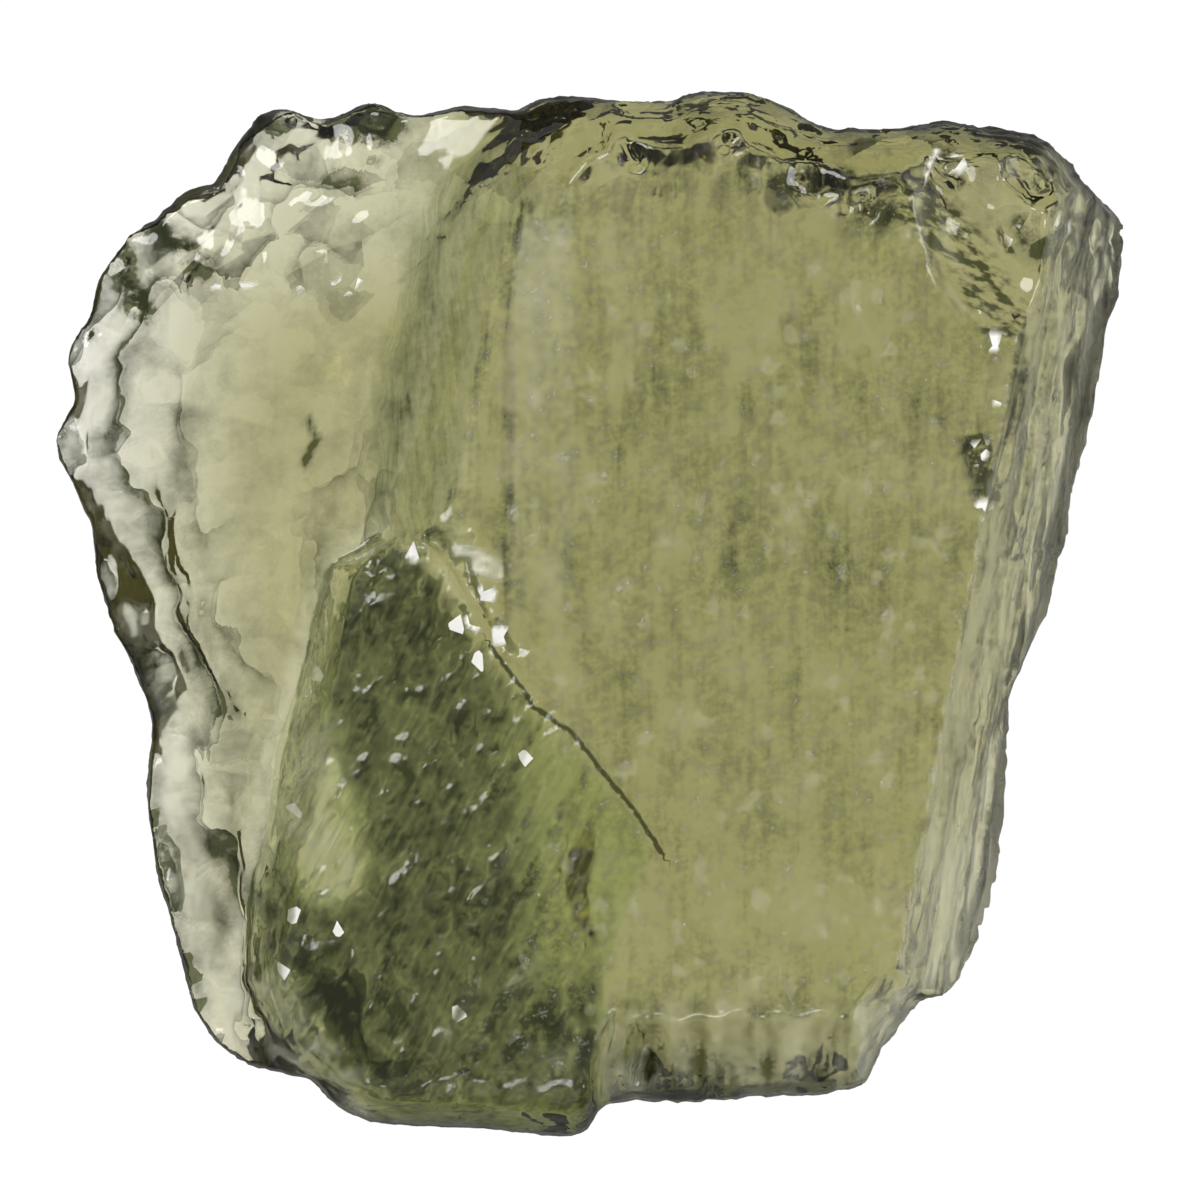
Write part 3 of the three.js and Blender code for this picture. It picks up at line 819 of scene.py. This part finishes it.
# %% [markdown]
# ## The glass
# The body is plain transmission with a constant index of refraction, filled with a volume that absorbs light:
# thin glass at the rim stays cream, and thick glass turns olive. Where the stone is bruised, and where sheen
# and highlights are painted, a second surface takes over, a matt white one, by the factor of a Mix Shader.
# The satin faces are rougher than the chips.

# %% Make the glass
GLASS_IOR = 1.49
ABSORB_COLOUR = (0.547, 0.534, 0.13, 1.0)
ABSORB_PER_METRE = 250.0
# The white of frosted glass and of the painted sheen, and below it the white of the painted highlights.
FROST_AND_SHEEN_TINT = (0.78, 0.78, 0.64, 1.0)
SPARKLE_TINT = (0.95, 0.95, 0.92, 1.0)
POLISHED = 0.02
SATIN = 0.12
SATIN_STROKES = 0.4
SHARD_ROUGHNESS = 0.16
WHITE_SURFACE_ROUGHNESS = 0.45


def glass_material():
    material = bpy.data.materials.new("moldavite_glass")
    material.use_nodes = True
    tree = material.node_tree
    tree.nodes.clear()
    start = Wire(tree)

    def weight(name):
        return start.make("ShaderNodeAttribute", {"attribute_name": name}, out="Fac")

    marks = fine_marks(start, weight)
    satin = marks.lined * (SATIN + SATIN_STROKES * marks.strokes)
    clear = start.make("ShaderNodeBsdfPrincipled", None, {
        "Base Color": glass_tint(start, weight, marks),
        "Roughness": (POLISHED + satin + weight("shard") * SHARD_ROUGHNESS).clamp(),
        "IOR": GLASS_IOR,
        "Transmission Weight": 1.0,
    })
    sparkle = painted_sparkle(weight, marks)
    white_surface = start.make("ShaderNodeBsdfPrincipled", None, {
        "Base Color": start.blend(sparkle, FROST_AND_SHEEN_TINT, SPARKLE_TINT),
        "Roughness": WHITE_SURFACE_ROUGHNESS,
        "IOR": GLASS_IOR,
    })
    # The white share: frosted glass, painted sheen and painted highlights.
    frost_and_highlights = (weight("frost_and_sheen") + sparkle).clamp()
    surface = start.make("ShaderNodeMixShader", None, {0: frost_and_highlights, 1: clear, 2: white_surface})
    depth = start.make("ShaderNodeVolumeAbsorption", None, {
        "Color": ABSORB_COLOUR,
        "Density": ABSORB_PER_METRE,
    })
    output = tree.nodes.new("ShaderNodeOutputMaterial")
    tree.links.new(surface.socket, output.inputs["Surface"])
    tree.links.new(depth.socket, output.inputs["Volume"])
    return material


glass = glass_material()
print("glass nodes:", len(glass.node_tree.nodes))

# %% [markdown]
# ## Grow the skin
# The tree's inputs are set by each socket's identifier, before the stone is first evaluated. The result
# becomes a plain mesh, is scaled back to metres, and then stands for the CAD solid.

# %% Apply the relief
relief = stone.modifiers.new("relief", "NODES")
relief.node_group = relief_tree(glass)
for item in relief.node_group.interface.items_tree:
    if item.in_out == "INPUT" and item.name in RELIEF_INPUTS:
        relief[item.identifier] = RELIEF_INPUTS[item.name]
skin = apply_modifiers(stone)
skin.name = "moldavite_skin"
skin.transform(Matrix.Scale(MM, 4))
skin.polygons.foreach_set("use_smooth", [True] * len(skin.polygons))
stone.name = "moldavite_stone"
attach(stone, "root")
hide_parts("moldavite")
skin.calc_loop_triangles()
print("stone:", len(skin.loop_triangles), "triangles")

# %% [markdown]
# ## The table
# Clear stones are looked at over a bright ground: light comes up through the glass, and edges that bend it
# away go dark. A lamp below a sheet of glass would do it, but a plain pale sheet that glows softly is simpler
# and has no noise. The sheet is dimmer where it is mirrored in the outside of the stone. A real light table
# is small, so little of it is seen that way, and the steep edges stay dark.

# %% Lay the floor
FLOOR_TINT = (1.0, 1.0, 0.99)
FLOOR_GLOW = 1.02
FLOOR_GLOW_MIRRORED = 0.14
FLOOR_SIZE = 2.0
FLOOR_GAP_MM = 0.03
half = FLOOR_SIZE / 2
corners = [(-half, -half, 0), (half, -half, 0), (half, half, 0), (-half, half, 0)]
floor_mesh = bpy.data.meshes.new("floor")
floor_mesh.from_pydata(corners, [], [(0, 1, 2, 3)])
floor = bpy.data.objects.new("floor", floor_mesh)
floor.location.z = cad_low[2] - FLOOR_GAP_MM * MM
bpy.context.scene.collection.objects.link(floor)

pale = bpy.data.materials.new("pale_floor")
pale.use_nodes = True
board = pale.node_tree.nodes["Principled BSDF"]
board.inputs["Base Color"].default_value = (0, 0, 0, 1)
board.inputs["Specular IOR Level"].default_value = 0
board.inputs["Emission Strength"].default_value = FLOOR_GLOW
dimmed = [v * FLOOR_GLOW_MIRRORED / FLOOR_GLOW for v in FLOOR_TINT]
ray = Wire(pale.node_tree)
through_glass = ray.make("ShaderNodeLightPath", out="Is Transmission Ray")
mirrored = ray.make("ShaderNodeLightPath", out="Is Glossy Ray") * (1 - through_glass)
ray.feed(board.inputs["Emission Color"], ray.blend(mirrored, (*FLOOR_TINT, 1), (*dimmed, 1)))
pale.cycles.emission_sampling = "NONE"
floor_mesh.materials.append(pale)
print("floor at", round(floor.location.z / MM, 3), "mm")

# %% [markdown]
# ## The room
# The room is dimmer overhead, so that steep edges have something dark to show. Three soft boxes give the
# small highlights. Lamps could be those boxes, but bright round patches of the room's own light are seen
# in the glass as well, and they render without extra noise. Light passes in and out of a clear stone
# several times, so the number of bounces is set here too.

# %% Light the room
ROOM_GLOW = 0.75
ROOM_FADE = 0.37
ROOM_FADE_HEIGHTS = (0.05, 0.8)
ROOM_TINT = (1.0, 0.99, 0.98, 1.0)
SOFT_BOXES = [((-190, 210, 260), 13.0, 9.0), ((260, 40, 200), 12.0, 7.0), ((30, -230, 240), 12.0, 7.0)]
SOFT_BOX_CORE = 0.8
scene = bpy.context.scene
scene.view_settings.view_transform = "Standard"
scene.cycles.max_bounces = 9
scene.cycles.transmission_bounces = 9
scene.cycles.glossy_bounces = 4
scene.cycles.diffuse_bounces = 2

world = bpy.data.worlds.new("room")
world.use_nodes = True
world.cycles.sampling_method = "NONE"
scene.world = world
world.node_tree.nodes.clear()
air = Wire(world.node_tree)
direction = air.make("ShaderNodeTexCoord", out="Generated")
brightness = ROOM_GLOW - ROOM_FADE * direction.parts()[2].between(*ROOM_FADE_HEIGHTS)
for toward, half_angle, strength in SOFT_BOXES:
    facing = air.vector_math("DOT_PRODUCT", direction, Vector(toward).normalized(), out="Value")
    border = math.cos(math.radians(half_angle))
    core = math.cos(math.radians(half_angle * SOFT_BOX_CORE))
    brightness = brightness + facing.between(border, core) * strength
sky = air.make("ShaderNodeBackground", None, {"Color": ROOM_TINT, "Strength": brightness})
world_out = world.node_tree.nodes.new("ShaderNodeOutputWorld")
world.node_tree.links.new(sky.socket, world_out.inputs["Surface"])
print("soft boxes:", len(SOFT_BOXES))

# %% [markdown]
# ## The camera
# The camera looks straight down on the broad face, and the stone fills about nine tenths of the picture. A
# short lens would show the near face larger than the rim below it, so a long lens is used from far away,
# which keeps them at nearly the same scale.

# %% Place the camera
FRAME_WIDTH_MM = 24.0
FRAME_MIDDLE_MM = (0.16, 0.30)
RIM_LEVEL_MM = 2.6
LENS_MM = 400
SENSOR_MM = 36
lens = bpy.data.cameras.new("camera")
lens.lens = LENS_MM
lens.sensor_width = SENSOR_MM
lens.clip_start = 0.005
lens.clip_end = 20
camera = bpy.data.objects.new("camera", lens)
distance_mm = FRAME_WIDTH_MM * LENS_MM / SENSOR_MM
camera.location = Vector((*FRAME_MIDDLE_MM, RIM_LEVEL_MM + distance_mm)) * MM
scene.collection.objects.link(camera)
scene.camera = camera
print("camera", round(distance_mm, 1), "mm away")
